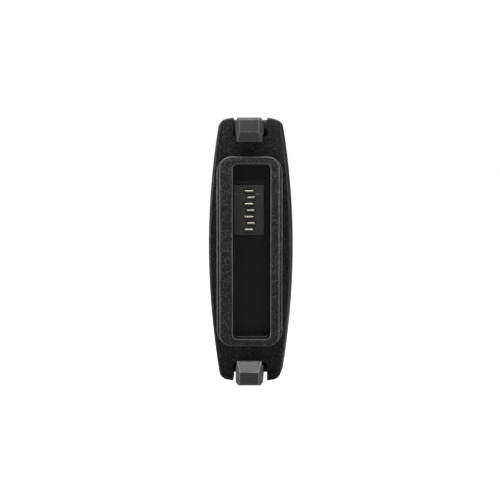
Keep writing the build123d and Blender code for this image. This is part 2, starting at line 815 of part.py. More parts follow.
# ---- keys: each has a flange that stops it falling out, and pushes a plunger ----
for (y, z), name in zip(key_spots, ("down_key", "set_key", "up_key")):
    key_face_x = side_x(abs(z)) - key_sink
    with BuildPart() as key:
        with BuildSketch(display_plane.offset(key_back_x)):
            with Locations((y, z)):
                RectangleRounded(
                    key_length + 2 * key_flange,
                    key_width + 2 * key_flange,
                    key_radius + key_flange,
                )
        extrude(amount=key_flange_thickness)
        with BuildSketch(display_plane.offset(key_back_x)):
            with Locations((y, z)):
                RectangleRounded(key_length, key_width, key_radius)
        extrude(amount=key_face_x - key_back_x)
        face = key.faces().sort_by(Axis.X)[-1]
        chamfer(face.edges(), key_edge)
    write(key.part, name)
    with BuildPart() as plunger:
        plunger_low = key_back_x - key_travel - plunger_gap
        round_x((plunger_low, key_back_x), y, z, plunger_radius)
    write(plunger.part, f"{name}_plunger")

# ---- latch lever: hook outside the dock face, finger pad in its pocket ----
def lever_section(width, back_z, depth, outer_cut, inner_cut):
    """Section of the lever with its four corners cut: outer at its back, inner at the catch."""
    low_z = back_z - depth
    right = [
        (width / 2 - outer_cut[0], back_z),
        (width / 2, back_z - outer_cut[1]),
        (width / 2, low_z + inner_cut[1]),
        (width / 2 - inner_cut[0], low_z),
    ]
    with BuildSketch() as cut_section:
        with BuildLine():
            Polyline(*right, *[(-x, z) for x, z in reversed(right)], close=True)
        make_face()
    return cut_section.sketch


with BuildPart() as latch:
    tip_y, ramp_y, catch_y = -latch_reach, hook_ramp - latch_reach, hook_head - latch_reach
    nose_cuts = [[nose_cut_share * c for c in cut] for cut in (head_outer_cut, head_inner_cut)]
    nose_back_z = latch_back_z - nose_inset
    head = lever_section(latch_width, latch_back_z, hook_depth, head_outer_cut, head_inner_cut)
    # blunt nose that widens to the full head
    with BuildSketch(section(tip_y)):
        add(lever_section(nose_face_width, nose_back_z, nose_face_depth, *nose_cuts))
    with BuildSketch(section(ramp_y)):
        add(head)
    loft(ruled=True)
    with BuildSketch(section(catch_y)):
        add(head)
    extrude(amount=catch_y - ramp_y)
    with BuildSketch(section(pad_start)):
        add(lever_section(latch_width, latch_back_z, neck_depth, head_outer_cut, neck_inner_cut))
    extrude(amount=pad_start - catch_y)
    # finger pad, its hub, and the slope from the neck down to the pad
    with BuildSketch(Plane.XY.offset(pad_top_z)):
        with Locations((0, (pad_start + pad_end) / 2)):
            RectangleRounded(pad_width, pad_end - pad_start, pad_corner)
    extrude(amount=-pad_thickness)
    round_x((-pad_width / 2, pad_width / 2), pivot_y, pivot_z, pivot_hub_radius)
    with BuildSketch(Plane.YZ):
        with BuildLine():
            Polyline(
                (pad_start, pad_top_z),
                (pad_start, latch_back_z),
                (pad_start + pad_slope, pad_top_z),
                close=True,
            )
        make_face()
        with BuildLine():
            Polyline(
                (pad_start, latch_back_z - neck_depth),
                (pivot_y, pivot_z - pivot_hub_radius),
                (pivot_y, pad_top_z - pad_thickness / 2),
                (pad_start, pad_top_z - pad_thickness / 2),
                close=True,
            )
        make_face()
    extrude(amount=latch_width / 2 - head_outer_cut[0], both=True)
    for n in range(rib_count):
        rib_y = pad_end - rib_pitch * (n + 1)
        slab(
            (pad_corner - pad_width / 2, rib_y - rib_width / 2, pad_top_z - root),
            (pad_width / 2 - pad_corner, rib_y + rib_width / 2, pad_top_z + rib_height),
        )
    bore_radius = pin_radius + play
    round_x((-pad_width, pad_width), pivot_y, pivot_z, bore_radius, Mode.SUBTRACT)

with BuildPart() as latch_pin:
    pin_half = pocket_x + pin_seat
    round_x((-pin_half, pin_half), pivot_y, pivot_z, pin_radius)
    chamfer(latch_pin.edges(), pin_radius / 4)

# leaf spring: a bowed strip that stands on the pocket's floor and lifts the pad
with BuildPart() as latch_spring:
    foot_z = flat_z - pocket_depth
    crest_z = pad_top_z - pad_thickness - spring_gap
    spring_end = spring_start + spring_length
    spring_middle = spring_start + spring_length / 2
    with BuildSketch(Plane.YZ):
        with BuildLine():
            ThreePointArc(
                (spring_start, foot_z), (spring_middle, crest_z), (spring_end, foot_z)
            )
            ThreePointArc(
                (spring_start + 2 * spring_metal, foot_z),
                (spring_middle, crest_z - spring_metal),
                (spring_end - 2 * spring_metal, foot_z),
            )
            Line((spring_start, foot_z), (spring_start + 2 * spring_metal, foot_z))
            Line((spring_end, foot_z), (spring_end - 2 * spring_metal, foot_z))
        make_face()
    extrude(amount=spring_width / 2, both=True)

for name, piece in {"latch": latch, "latch_pin": latch_pin, "latch_spring": latch_spring}.items():
    write(piece.part, f"upper_{name}")
    write(mirror(piece.part, about=Plane.XY), f"lower_{name}")

# ---- case screws: cap heads with a hexagon socket ----
with BuildPart() as case_screws:
    for y, z in screw_spots:
        shank = (screw_seat_x, screw_seat_x + screw_length)
        head = (screw_seat_x - screw_head_height, screw_seat_x)
        round_x(shank, y, z, screw_radius)
        round_x(head, y, z, screw_head_radius)
        with BuildSketch(display_plane.offset(head[0])):
            with Locations((y, z)):
                RegularPolygon(screw_socket_radius, 6)
        extrude(amount=screw_socket_depth, mode=Mode.SUBTRACT)
write(case_screws.part, "case_screws")

# ---- top panel: hollow cap with a plug into the shells and two lugs for the screws ----
mute_recess_width = mute_knob_width + mute_travel + 2 * mute_recess_margin
mute_recess_thickness = mute_knob_thickness + 2 * mute_recess_margin
mute_floor_y = case_length - mute_recess_depth
with BuildPart() as top_panel:
    with BuildSketch(section(case_length)):
        add(full_outline)
    extrude(amount=panel_thickness)
    rim = top_panel.faces().sort_by(Axis.Y)[-1]
    fillet(rim.edges(), panel_edge_radius)
    with BuildSketch(section(shell_end + panel_gasket)):
        add(hollow(wall + fit_gap, flat_z - wall - fit_gap))
    extrude(amount=plug_depth + panel_gasket)
    with BuildSketch(section(panel_back_y)):
        plug_inset = wall + fit_gap + plug_wall
        add(hollow(plug_inset, flat_z - plug_inset))
    extrude(amount=panel_thickness + plug_depth, mode=Mode.SUBTRACT)
    lug_end_y = panel_back_y + lug_root
    for z in (-screw_z_top, screw_z_top):
        with BuildSketch(display_plane.offset(-lug_thickness / 2)):
            with Locations((screw_y_top, z)):
                Circle(lug_width / 2)
            with Locations(((screw_y_top + lug_end_y) / 2, z)):
                Rectangle(lug_end_y - screw_y_top, lug_width)
            with Locations((screw_y_top, z)):
                Circle(screw_radius + fit_gap, mode=Mode.SUBTRACT)
        extrude(amount=lug_thickness)
    for z, radius in (
        (audio_z, audio_barrel_radius),
        (aerial_z, stud_radius),
        (led_z, led_radius),
    ):
        through = (panel_back_y - over_cut, case_length + over_cut)
        round_y(through, z, radius + fit_gap, Mode.SUBTRACT)
    with BuildSketch(section(case_length + over_cut)):
        with Locations((0, mute_z)):
            RectangleRounded(mute_recess_thickness, mute_recess_width, mute_recess_corner)
    extrude(amount=mute_recess_depth + over_cut, mode=Mode.SUBTRACT)
    with BuildSketch(section(case_length)):
        with Locations((0, mute_z)):
            Rectangle(
                mute_stem_thickness + 2 * fit_gap,
                mute_stem_width + mute_travel + 2 * fit_gap,
            )
    extrude(amount=panel_thickness, mode=Mode.SUBTRACT)
write(top_panel.part, "top_panel")

with BuildPart() as panel_seal:
    with BuildSketch(section(shell_end + panel_gasket)):
        add(outline(inset=gasket_inset))
        add(cavity_outline, mode=Mode.SUBTRACT)
    extrude(amount=panel_gasket)
write(panel_seal.part, "panel_gasket")

# ---- mute slider: knob in its recess, with a stem through the panel to the switch ----
mute_body_face = panel_back_y - mute_knob_gap
knob_z = mute_z - mute_travel / 2
groove_low_y = case_length + mute_knob_rise - mute_groove_depth
with BuildPart() as mute_knob:
    slab(
        (-mute_knob_thickness / 2, mute_floor_y + mute_knob_gap, knob_z - mute_knob_width / 2),
        (mute_knob_thickness / 2, case_length + mute_knob_rise, knob_z + mute_knob_width / 2),
    )
    chamfer(mute_knob.edges().filter_by(Axis.Y), mute_knob_edge)
    chamfer(mute_knob.faces().sort_by(Axis.Y)[-1].edges(), mute_knob_edge / 2)
    for n in range(mute_grooves):
        groove_z = knob_z + (n - (mute_grooves - 1) / 2) * mute_groove_pitch
        slab(
            (-case_thickness, groove_low_y, groove_z - mute_groove_width / 2),
            (case_thickness, case_length + 2 * mute_knob_rise, groove_z + mute_groove_width / 2),
            mode=Mode.SUBTRACT,
        )
    slab(
        (
            -mute_stem_thickness / 2,
            mute_body_face - mute_stem_reach,
            knob_z - mute_stem_width / 2,
        ),
        (
            mute_stem_thickness / 2,
            mute_floor_y + mute_knob_gap + root,
            knob_z + mute_stem_width / 2,
        ),
    )
write(mute_knob.part, "mute_knob")

with BuildPart() as mute_switch:
    slab(
        (-mute_body_thickness / 2, top_board_front, mute_z - mute_body_width / 2),
        (mute_body_thickness / 2, mute_body_face, mute_z + mute_body_width / 2),
    )
    slab(
        (
            -mute_stem_thickness / 2 - fit_gap,
            mute_body_face - mute_stem_reach - fit_gap,
            mute_z - (mute_stem_width + mute_travel) / 2 - fit_gap,
        ),
        (
            mute_stem_thickness / 2 + fit_gap,
            mute_body_face,
            mute_z + (mute_stem_width + mute_travel) / 2 + fit_gap,
        ),
        mode=Mode.SUBTRACT,
    )
write(mute_switch.part, "mute_switch")

# ---- status light: a domed light pipe over a small lamp ----
led_face_y = top_board_front + led_height
with BuildPart() as light_pipe:
    round_y((led_face_y + fit_gap, case_length + led_dome), led_z, led_radius)
    chamfer(light_pipe.edges().sort_by(Axis.Y)[-1], led_dome)
    round_y((panel_back_y - led_flange_thickness, panel_back_y), led_z, led_flange_radius)
write(light_pipe.part, "light_pipe")

with BuildPart() as status_lamp:
    slab(
        (-led_side / 2, top_board_front, led_z - led_side / 2),
        (led_side / 2, led_face_y, led_z + led_side / 2),
    )
write(status_lamp.part, "status_lamp")

with BuildPart() as top_board:
    with BuildSketch(section(top_board_front)):
        RectangleRounded(top_board_depth, board_width, board_corner)
    extrude(amount=board_thickness)
write(top_board.part, "top_board")

# ---- microphone socket ----
with BuildPart() as audio_socket:
    round_y((socket_back_y, case_length), audio_z, audio_barrel_radius)
    round_y((case_length, socket_face_y), audio_z, audio_flange_radius)
    chamfer(audio_socket.faces().sort_by(Axis.Y)[-1].edges(), audio_edge)
    round_y((pin_tip_y, socket_face_y), audio_z, audio_bore_radius, Mode.SUBTRACT)
    round_y((socket_back_y, pin_tip_y), audio_z, audio_insert_radius, Mode.SUBTRACT)
write(audio_socket.part, "audio_socket")

with BuildPart() as audio_insulator:
    round_y((socket_back_y, insulator_face_y), audio_z, audio_insert_radius)
write(audio_insulator.part, "audio_insulator")

with BuildPart() as audio_pins:
    pins_plane = Plane((0, 0, audio_z), x_dir=(1, 0, 0), z_dir=(0, -1, 0))
    with BuildSketch(pins_plane.offset(-pin_tip_y)):
        with PolarLocations(audio_pin_circle, audio_pin_count, start_angle=90):
            Circle(audio_pin_radius)
    extrude(amount=audio_pin_length)
write(audio_pins.part, "audio_pins")

for z, radius, flats, height, name in (
    (audio_z, audio_barrel_radius, audio_nut_flats, audio_nut_height, "audio_nut"),
    (aerial_z, stud_radius, aerial_nut_flats, aerial_nut_height, "aerial_nut"),
):
    with BuildPart() as nut:
        with BuildSketch(section(panel_back_y)):
            with Locations((0, z)):
                RegularPolygon(flats / 2, 6, major_radius=False, rotation=90)
                Circle(radius + screw_fit, mode=Mode.SUBTRACT)
        extrude(amount=height)
    write(nut.part, name)

# ---- aerial: stud in the panel, knurled ferrule, tapered sleeve over a rod ----
aerial_plane = Plane((0, 0, aerial_z), x_dir=(0, 1, 0), z_dir=(1, 0, 0))
aerial_axis = Axis((0, 0, aerial_z), (0, 1, 0))
with BuildPart() as aerial_stud:
    round_y((case_length - stud_tail, stud_top_y), aerial_z, stud_radius)
    chamfer(aerial_stud.edges().sort_by(Axis.Y)[-1], audio_edge)
    round_y((stud_top_y - stud_rise / 2, stud_top_y), aerial_z, stud_bore_radius, Mode.SUBTRACT)
write(aerial_stud.part, "aerial_stud")

sleeve_start_y = stud_top_y + ferrule_gap
sleeve_end_y = ferrule_end_y + sleeve_length
cap_low_y = ferrule_end_y - ferrule_cap
sleeve_root_end_y = cap_low_y - play
with BuildPart() as ferrule:
    round_y((ferrule_start_y, ferrule_end_y), aerial_z, ferrule_radius)
    chamfer(ferrule.edges().filter_by(GeomType.CIRCLE), ferrule_edge)
    round_y((ferrule_start_y, sleeve_start_y), aerial_z, stud_radius + screw_fit, Mode.SUBTRACT)
    round_y((sleeve_start_y, cap_low_y), aerial_z, sleeve_root_radius + play, Mode.SUBTRACT)
    round_y((cap_low_y, ferrule_end_y), aerial_z, sleeve_neck_radius + play, Mode.SUBTRACT)
    with BuildSketch(section(ferrule_end_y - 2 * ferrule_edge)):
        with Locations((0, aerial_z)):
            with PolarLocations(ferrule_radius, groove_count):
                RegularPolygon(groove_radius, 4)
    extrude(amount=ferrule_length - 4 * ferrule_edge, mode=Mode.SUBTRACT)
write(ferrule.part, "aerial_ferrule")

boot_end_y = ferrule_end_y + sleeve_boot
boot_tip_radius = (sleeve_neck_radius + sleeve_tip_radius) / 2
with BuildPart() as sleeve:
    with BuildSketch(aerial_plane):
        with BuildLine():
            Polyline(
                (sleeve_start_y, 0),
                (sleeve_start_y, sleeve_root_radius),
                (sleeve_root_end_y, sleeve_root_radius),
                (sleeve_root_end_y, sleeve_neck_radius),
                (ferrule_end_y, sleeve_neck_radius),
                (boot_end_y, boot_tip_radius),
                (sleeve_end_y - sleeve_tip_radius, sleeve_tip_radius),
            )
            RadiusArc(
                (sleeve_end_y - sleeve_tip_radius, sleeve_tip_radius),
                (sleeve_end_y, 0),
                sleeve_tip_radius,
            )
            Line((sleeve_end_y, 0), (sleeve_start_y, 0))
        make_face()
    revolve(axis=aerial_axis)
    rod_end_y = sleeve_start_y + rod_length
    round_y((sleeve_start_y, rod_end_y), aerial_z, rod_radius, Mode.SUBTRACT)
write(sleeve.part, "aerial_sleeve")

with BuildPart() as rod:
    round_y((sleeve_start_y, rod_end_y), aerial_z, rod_radius)
write(rod.part, "aerial_rod")

# ---- belt clip bushes: flanged, with a blind bore for the clip's peg ----
with BuildPart() as clip_bush:
    bush_plane = Plane((0, clip_y, bush_low))
    with BuildSketch(bush_plane):
        Circle(clip_bush_radius + clip_bush_flange - fit_gap / 2)
    extrude(amount=clip_bush_flange_thickness)
    with BuildSketch(bush_plane):
        Circle(clip_bush_radius - fit_gap / 2)
    extrude(amount=clip_bush_length)
    with BuildSketch(bush_plane.offset(clip_bush_length)):
        Circle(clip_bore_radius)
    extrude(amount=-clip_bore_depth, mode=Mode.SUBTRACT)
write(clip_bush.part, "upper_clip_bush")
write(mirror(clip_bush.part, about=Plane.XY), "lower_clip_bush")
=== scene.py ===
# %% [markdown]
# # A wireless bodypack transmitter, dressed
# The object is a pocket-sized transmitter, seen from its dock end, where a battery pack
# clips on. Its construction is already made, at its real size, and every moving piece
# already rides on its own body. What is left is how it looks: moulded black plastic with
# a sparked grain, soft edges that catch the light, sprung metal contacts, a rubber
# aerial. This first cell loads the construction and notes its box, whose lowest point
# later sets the floor.

# %% Load the frame
import json
from math import pi, radians

import bmesh
import bpy
import numpy as np
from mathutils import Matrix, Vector


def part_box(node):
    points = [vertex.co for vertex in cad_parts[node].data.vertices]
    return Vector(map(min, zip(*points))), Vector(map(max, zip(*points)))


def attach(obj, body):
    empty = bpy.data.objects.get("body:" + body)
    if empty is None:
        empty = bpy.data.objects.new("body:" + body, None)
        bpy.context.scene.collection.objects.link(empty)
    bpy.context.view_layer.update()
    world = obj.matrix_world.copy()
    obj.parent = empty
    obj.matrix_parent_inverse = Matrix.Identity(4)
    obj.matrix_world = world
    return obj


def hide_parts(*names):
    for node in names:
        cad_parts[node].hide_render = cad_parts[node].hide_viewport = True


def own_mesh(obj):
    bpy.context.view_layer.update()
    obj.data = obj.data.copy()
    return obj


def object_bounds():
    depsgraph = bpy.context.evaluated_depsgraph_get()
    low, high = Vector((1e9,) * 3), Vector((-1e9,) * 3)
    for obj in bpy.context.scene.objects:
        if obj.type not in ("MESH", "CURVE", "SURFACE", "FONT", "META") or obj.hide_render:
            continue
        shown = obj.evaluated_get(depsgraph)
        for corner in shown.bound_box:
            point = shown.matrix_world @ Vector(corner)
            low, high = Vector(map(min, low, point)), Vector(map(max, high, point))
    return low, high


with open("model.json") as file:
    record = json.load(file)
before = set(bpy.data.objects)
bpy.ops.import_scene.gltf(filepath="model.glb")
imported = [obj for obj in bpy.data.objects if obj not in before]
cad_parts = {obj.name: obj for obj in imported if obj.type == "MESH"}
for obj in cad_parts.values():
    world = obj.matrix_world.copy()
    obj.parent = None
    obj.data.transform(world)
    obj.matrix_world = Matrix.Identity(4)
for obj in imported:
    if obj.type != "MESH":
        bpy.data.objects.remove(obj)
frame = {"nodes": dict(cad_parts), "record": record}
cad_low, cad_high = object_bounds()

MM = 0.001
nodes = frame["nodes"]
slot_of = {row["node"]: row["material_slot"] for row in frame["record"]["subparts"]}

# %% [markdown]
# ## Camera
# The transmitter stands on its narrow side and is seen square on to the dock end, from a
# little above and a little to the right. From 35 cm a long lens keeps the outline nearly
# parallel. The camera aims at the middle of the dock face, which is the origin, so the
# place of the eye and the lens say all of it.

# %% Camera
eye = Vector((7.5, -350.0, 24.0)) * MM
sensor_width, focal_length = 36.0, 107.8  # mm; together they frame a width of 117 mm
camera_data = bpy.data.cameras.new("product_camera")
camera_data.sensor_width = sensor_width
camera_data.lens = focal_length
camera_data.clip_start = 20 * MM
camera = bpy.data.objects.new("product_camera", camera_data)
bpy.context.scene.collection.objects.link(camera)
camera.location = eye
camera.rotation_euler = (-eye).to_track_quat("-Z", "Y").to_euler()
bpy.context.scene.camera = camera
bpy.context.scene.view_settings.view_transform = "Standard"
print("camera stands", round(eye.length, 3), "m away")

# %% [markdown]
# ## Helpers for node trees
# Every material below is a short list of nodes. `add_node` makes one node and fills its
# sockets: a socket given as a value is linked, and a plain number or colour is set.
# `blend_colour` is the one node with awkward sockets, because Mix hides its colour ones
# behind numbers.

# %% Node helpers
def fill(tree, socket, value):
    """Links the socket if the value is another socket, and otherwise sets it."""
    if isinstance(value, bpy.types.NodeSocket):
        tree.links.new(value, socket)
    elif socket.type == "RGBA" and len(value) == 3:
        socket.default_value = (*value, 1.0)
    else:
        socket.default_value = value


def add_node(tree, kind, sockets=None, **settings):
    """Adds a node, changes its settings, then fills each socket named in sockets."""
    node = tree.nodes.new(kind)
    for key, value in settings.items():
        setattr(node, key, value)
    for key, value in (sockets or {}).items():
        fill(tree, node.inputs[key], value)
    return node


def math_node(tree, operation, *values):
    """The result of one arithmetic node."""
    sockets = dict(enumerate(values))
    return add_node(tree, "ShaderNodeMath", sockets, operation=operation).outputs[0]


def ramp(tree, value, low, high, to_low=0.0, to_high=1.0):
    """The value carried from the range low..high to the range to_low..to_high."""
    sockets = {"Value": value, "From Min": low, "From Max": high,
               "To Min": to_low, "To Max": to_high}
    return add_node(tree, "ShaderNodeMapRange", sockets).outputs[0]


def blend_colour(tree, factor, first, second):
    """A colour that is first where the factor is 0 and second where it is 1."""
    sockets = {0: factor, 6: first, 7: second}
    return add_node(tree, "ShaderNodeMix", sockets, data_type="RGBA").outputs[2]


print("node helpers ready")

# %% [markdown]
# ## Helpers for shared effects
# Grain, wear and handling are the same on many pieces, so each is a node group, made once
# and placed in every material that needs it. Numbers go in, and only masks and heights
# come out: each material then decides what they do to its colour and its dullness.

# %% Group helper
def new_group(name, inputs, outputs):
    """An empty node group with named sockets, and the nodes at its two ends."""
    tree = bpy.data.node_groups.new(name, "ShaderNodeTree")
    for label, value in inputs.items():
        socket = tree.interface.new_socket(
            name=label, in_out="INPUT", socket_type="NodeSocketFloat")
        socket.default_value = value
    for label in outputs:
        tree.interface.new_socket(name=label, in_out="OUTPUT", socket_type="NodeSocketFloat")
    return tree, tree.nodes.new("NodeGroupInput"), tree.nodes.new("NodeGroupOutput")


print("group helper ready")

# %% [markdown]
# ## Effect: the grain of a sparked mould
# Moulded black cases take their dull, pebbled look from the spark-eroded steel of the
# mould: shallow round bumps a quarter of a millimetre across, with finer ones between.
# Voronoi cells are just such pebbles, so the height falls with the square of the
# distance from each cell's middle, and a little fine noise is laid over it. Measured in
# object coordinates, the grain is the same on every piece however it lies. The group
# puts out the height, for a bump, and a speckle that makes single pebbles paler. That
# speckle is a painted glint: pebbles drawn paler, most of all at their tops, as if they
# caught the lamp. Which ones is left to a White Noise node: the colour that Voronoi gives
# a cell tells where in the cell its middle lies, so it would choose whole rows of pebbles
# on a curved side.

# %% Grain group
times_finer = 3.3  # the noise between the pebbles, against the pebbles
fine_height = 0.3  # of a pebble's height

grain, given, made = new_group("MouldGrain", {"Size": 0.3 * MM}, ("Height", "Glints"))
place = add_node(grain, "ShaderNodeTexCoord").outputs["Object"]
per_metre = math_node(grain, "DIVIDE", 1.0, given.outputs["Size"])
pebbles = add_node(grain, "ShaderNodeTexVoronoi", {"Vector": place, "Scale": per_metre})
finer = math_node(grain, "MULTIPLY", per_metre, times_finer)
fine = add_node(grain, "ShaderNodeTexNoise",
                {"Vector": place, "Scale": finer, "Detail": 1.0, "Roughness": 0.5})
away = math_node(grain, "POWER", pebbles.outputs["Distance"], 2.0)
dome = math_node(grain, "SUBTRACT", 1.0, away)
height = math_node(grain, "MULTIPLY_ADD", fine.outputs["Fac"], fine_height, dome)
# Painted glints: chance picks some pebbles, and these are drawn paler towards their tops.
chance = add_node(grain, "ShaderNodeTexWhiteNoise",
                  {"Vector": pebbles.outputs["Color"]}).outputs["Value"]
pale = math_node(grain, "POWER", ramp(grain, chance, 0.3, 1.0), 2.0)
painted_glint = math_node(grain, "MULTIPLY", pale, ramp(grain, dome, 0.6, 0.98))
grain.links.new(height, made.inputs["Height"])
grain.links.new(painted_glint, made.inputs["Glints"])
print("grain group has", len(grain.nodes), "nodes")

# %% [markdown]
# ## Effect: rubbed edges, with a painted highlight
# Hands and pockets polish the edges of a plastic case first: they turn a little paler and
# smoother. The edges here are drawn far paler than wear alone would make them, because
# the same mask also paints the highlight that a rounded edge catches from the lamps. A
# Bevel node bends the normal near an edge, so where its normal and the true one disagree
# there is an edge. A piece whose edges are modelled round has nothing for that node to
# find, so its mesh may carry an attribute, rounded_edge, that says where they are. Noise
# breaks the line up, because wear is never even.

# %% Edge group
worn_patches = 900.0  # per metre
whole_edge, no_edge = 0.955, 0.998  # cosine between the true normal and the bent one

# The mask marks edges both for real wear and for a painted highlight.
wear_and_highlight_edges, given, made = new_group("EdgeWearAndHighlight", {"Width": 0.25 * MM, "Breakup": 0.5}, ("Mask",))
true_normal = add_node(wear_and_highlight_edges, "ShaderNodeNewGeometry").outputs["Normal"]
soft_normal = add_node(wear_and_highlight_edges, "ShaderNodeBevel", {"Radius": given.outputs["Width"]}, samples=6)
agree = add_node(wear_and_highlight_edges, "ShaderNodeVectorMath", {0: soft_normal.outputs[0], 1: true_normal},
                 operation="DOT_PRODUCT")
found = ramp(wear_and_highlight_edges, agree.outputs["Value"], no_edge, whole_edge)
modelled = add_node(wear_and_highlight_edges, "ShaderNodeAttribute", attribute_name="rounded_edge").outputs["Fac"]
on_edge = math_node(wear_and_highlight_edges, "MAXIMUM", found, modelled)
place = add_node(wear_and_highlight_edges, "ShaderNodeTexCoord").outputs["Object"]
patches = add_node(wear_and_highlight_edges, "ShaderNodeTexNoise",
                   {"Vector": place, "Scale": worn_patches, "Detail": 3.0})
unworn = ramp(wear_and_highlight_edges, patches.outputs["Fac"], 0.35, 0.6, to_low=1.0, to_high=0.0)
broken = math_node(wear_and_highlight_edges, "MULTIPLY", unworn, given.outputs["Breakup"])
mask = math_node(wear_and_highlight_edges, "MULTIPLY", on_edge, math_node(wear_and_highlight_edges, "SUBTRACT", 1.0, broken))
wear_and_highlight_edges.links.new(mask, made.inputs["Mask"])
print("edge group has", len(wear_and_highlight_edges.nodes), "nodes")

# %% [markdown]
# ## Effect: handling
# Even a clean part isn't equally dull all over. Fingers leave it a shade smoother in
# patches some millimetres wide, and a few grains of dust settle on what faces up. The
# patches are a slow noise, and the grains are the middles of Voronoi cells, cut small.

# %% Handling group
dust_grains = 700.0  # per metre, where a surface faces up

handling, given, made = new_group("Handling", {"Patch size": 6 * MM}, ("Smudge", "Dust"))
place = add_node(handling, "ShaderNodeTexCoord").outputs["Object"]
per_metre = math_node(handling, "DIVIDE", 1.0, given.outputs["Patch size"])
clouds = add_node(handling, "ShaderNodeTexNoise",
                  {"Vector": place, "Scale": per_metre, "Detail": 4.0, "Roughness": 0.62})
motes = add_node(handling, "ShaderNodeTexVoronoi", {"Vector": place, "Scale": dust_grains})
mote = ramp(handling, motes.outputs["Distance"], 0.09, 0.04)
facing = add_node(handling, "ShaderNodeNewGeometry").outputs["Normal"]
upward = add_node(handling, "ShaderNodeSeparateXYZ", {0: facing}).outputs["Z"]
dust = math_node(handling, "MULTIPLY", mote, ramp(handling, upward, 0.2, 0.9))
handling.links.new(ramp(handling, clouds.outputs["Fac"], 0.3, 0.7), made.inputs["Smudge"])
handling.links.new(dust, made.inputs["Dust"])
print("handling group has", len(handling.nodes), "nodes")

# %% [markdown]
# ## Moulded plastics and rubbers
# One recipe serves every moulded piece: a dark colour with a speckle of painted glints, a
# grain that dents the surface, edges made paler by wear and by a painted highlight, and
# patches of different dullness. What tells the case from the collar or the latches is only
# the strength of each effect, so the recipe is a function, and each finish is one call.
# The colours are very dark, because nearly all that is seen of black plastic is what its
# surface reflects.

# %% Moulded recipe
dust_colour = (0.16, 0.155, 0.15)
smudge_gloss = 0.08  # how much less rough a handled patch is
rubbed_gloss = 0.2  # and a rubbed edge
materials = {}


def start_material(name):
    """A new material with its tree and its Principled shader."""
    material = bpy.data.materials.new(name)
    material.use_nodes = True
    materials[name] = material
    return material.node_tree, material.node_tree.nodes["Principled BSDF"]


def effect(tree, group, **sockets):
    """One of the shared effects, placed in a material with its own values."""
    named = {key.replace("_", " "): value for key, value in sockets.items()}
    return add_node(tree, "ShaderNodeGroup", named, node_tree=group).outputs


def moulded(name, colour, dull, size, depth, wear_highlight_gain=2.4, width=0.22, glint_gain=0.35, shine=0.5):
    """A moulded finish.

    size and depth are the grain's, and width is that of the rubbed edges, all in mm.
    The edge factor is how many times paler an edge is than the colour: partly real wear,
    partly a painted highlight. A speck is one plus the speck factor times as pale, and is a
    painted glint.
    """
    tree, shader = start_material(name)
    texture = effect(tree, grain, Size=size * MM)
    edges = effect(tree, wear_and_highlight_edges, Width=width * MM)
    touched = effect(tree, handling)
    # Painted glints: the picked pebbles drawn paler than the colour.
    shade = blend_colour(tree, texture["Glints"], colour, [c * (1 + glint_gain) for c in colour])
    # Edges drawn paler: partly real wear, partly a painted highlight.
    shade = blend_colour(tree, edges["Mask"], shade, [c * wear_highlight_gain for c in colour])
    shade = blend_colour(tree, touched["Dust"], shade, dust_colour)
    smoother = math_node(tree, "MULTIPLY_ADD", touched["Smudge"], -smudge_gloss, dull)
    smoother = math_node(tree, "MULTIPLY_ADD", edges["Mask"], -rubbed_gloss, smoother)
    dents = add_node(tree, "ShaderNodeBump",
                     {"Height": texture["Height"], "Distance": depth * MM, "Strength": 1.0})
    fill(tree, shader.inputs["Base Color"], shade)
    fill(tree, shader.inputs["Roughness"], smoother)
    fill(tree, shader.inputs["Normal"], dents.outputs[0])
    shader.inputs["Specular IOR Level"].default_value = shine


print("moulded recipe ready")

# %% [markdown]
# ## The moulded finishes
# The collar and its well take the most wear, and their edges carry the strongest painted
# highlight, so they stand out the most. The case and above all the collar carry the
# strongest painted glints in their grain. The well and the key plungers come from
# polished tools and have next to no grain. The keys and the seal keep the finest grain,
# and the latches and the contact block are of a greyer plastic than the case.

# %% Moulded finishes
# Speck factors set the painted glints; edge factors set wear and painted highlight.
moulded("case_plastic", (0.004, 0.004, 0.0041), dull=0.5, size=0.24, depth=0.022,
        wear_highlight_gain=5.0, glint_gain=16.0, shine=0.2)
moulded("collar_plastic", (0.0035, 0.0035, 0.0037), dull=0.5, size=0.2, depth=0.028,
        wear_highlight_gain=24.0, width=0.3, glint_gain=38.0, shine=0.33)
# The well: hardly any painted glints, and the strongest painted highlight on its edges.
moulded("well_plastic", (0.004, 0.004, 0.0041), dull=0.36, size=0.3, depth=0.004,
        wear_highlight_gain=30.0, glint_gain=1.0, shine=0.3)
moulded("contact_plastic", (0.036, 0.036, 0.037), dull=0.5, size=0.3, depth=0.01,
        wear_highlight_gain=5.0, glint_gain=0.4)
moulded("carrier_plastic", (0.003, 0.003, 0.003), dull=0.5, size=0.3, depth=0.01,
        wear_highlight_gain=6.0, glint_gain=0.4, shine=0.3)
moulded("latch_plastic", (0.027, 0.027, 0.029), dull=0.46, size=0.3, depth=0.012,
        wear_highlight_gain=7.0, width=0.32, glint_gain=1.2)
moulded("key_rubber", (0.02, 0.02, 0.021), dull=0.62, size=0.12, depth=0.006)
moulded("seal_rubber", (0.006, 0.006, 0.006), dull=0.7, size=0.12, depth=0.006)
moulded("aerial_rubber", (0.011, 0.011, 0.0115), dull=0.5, size=0.2, depth=0.008)
moulded("slider", (0.028, 0.028, 0.03), dull=0.5, size=0.14, depth=0.006)
moulded("chip", (0.015, 0.015, 0.016), dull=0.55, size=0.12, depth=0.005)
moulded("plunger", (0.55, 0.54, 0.50), dull=0.5, size=0.2, depth=0.004,
        wear_highlight_gain=1.1, glint_gain=0.05)
print("moulded finishes:", ", ".join(sorted(materials)))

# %% [markdown]
# ## Metals
# Plated spring metal, plain steel, turned brass and black anodised aluminium differ in
# colour and in how they were worked. All have fine marks of the tool, which stretch the
# highlight, so one recipe lays a noise under the surface that is about ten times finer
# along one axis than along the others, and lets it change the roughness a little.

# %% Metal finishes
marks_per_metre = 400.0
handled, polished = 0.8, 1.4  # how pale the patches and the edges are, against the colour


